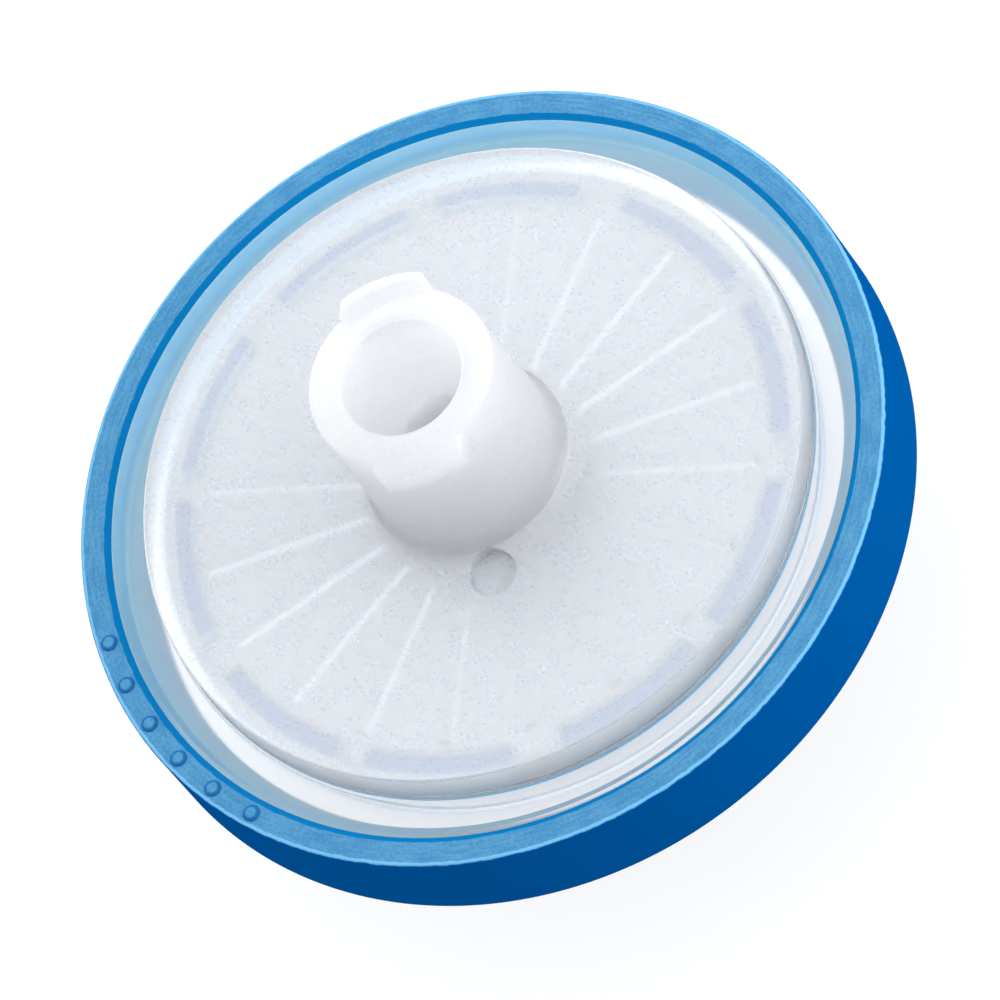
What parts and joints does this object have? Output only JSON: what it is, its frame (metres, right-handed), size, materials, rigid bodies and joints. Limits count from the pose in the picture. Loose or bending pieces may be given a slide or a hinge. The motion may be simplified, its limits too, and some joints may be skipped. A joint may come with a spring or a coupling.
{
  "type": "syringe filter",
  "caption": "Disposable disc syringe filter with a frosted clear housing, a blue overmoulded rim, a female luer lock inlet and a male luer slip outlet.",
  "frame": {"origin": "centre of the mouth face of the female luer lock inlet", "axes": "+Z along the flow axis, out of the inlet towards the syringe; +Y through one of the two lugs of the luer lock"},
  "size_m": [0.029, 0.029, 0.0198],
  "materials": {
    "clear_polypropylene": "natural polypropylene, frosted on the plateau and clear at the rim",
    "membrane_white": "porous white polymer membrane",
    "blue_polypropylene": "opaque blue polypropylene, satin, with fine turned lines on the top face"
  },
  "bodies": {
    "root": {"inlet_housing": "clear_polypropylene", "membrane": "membrane_white", "outlet_housing": "clear_polypropylene", "overmould_ring": "blue_polypropylene"}
  },
  "joints": []
}
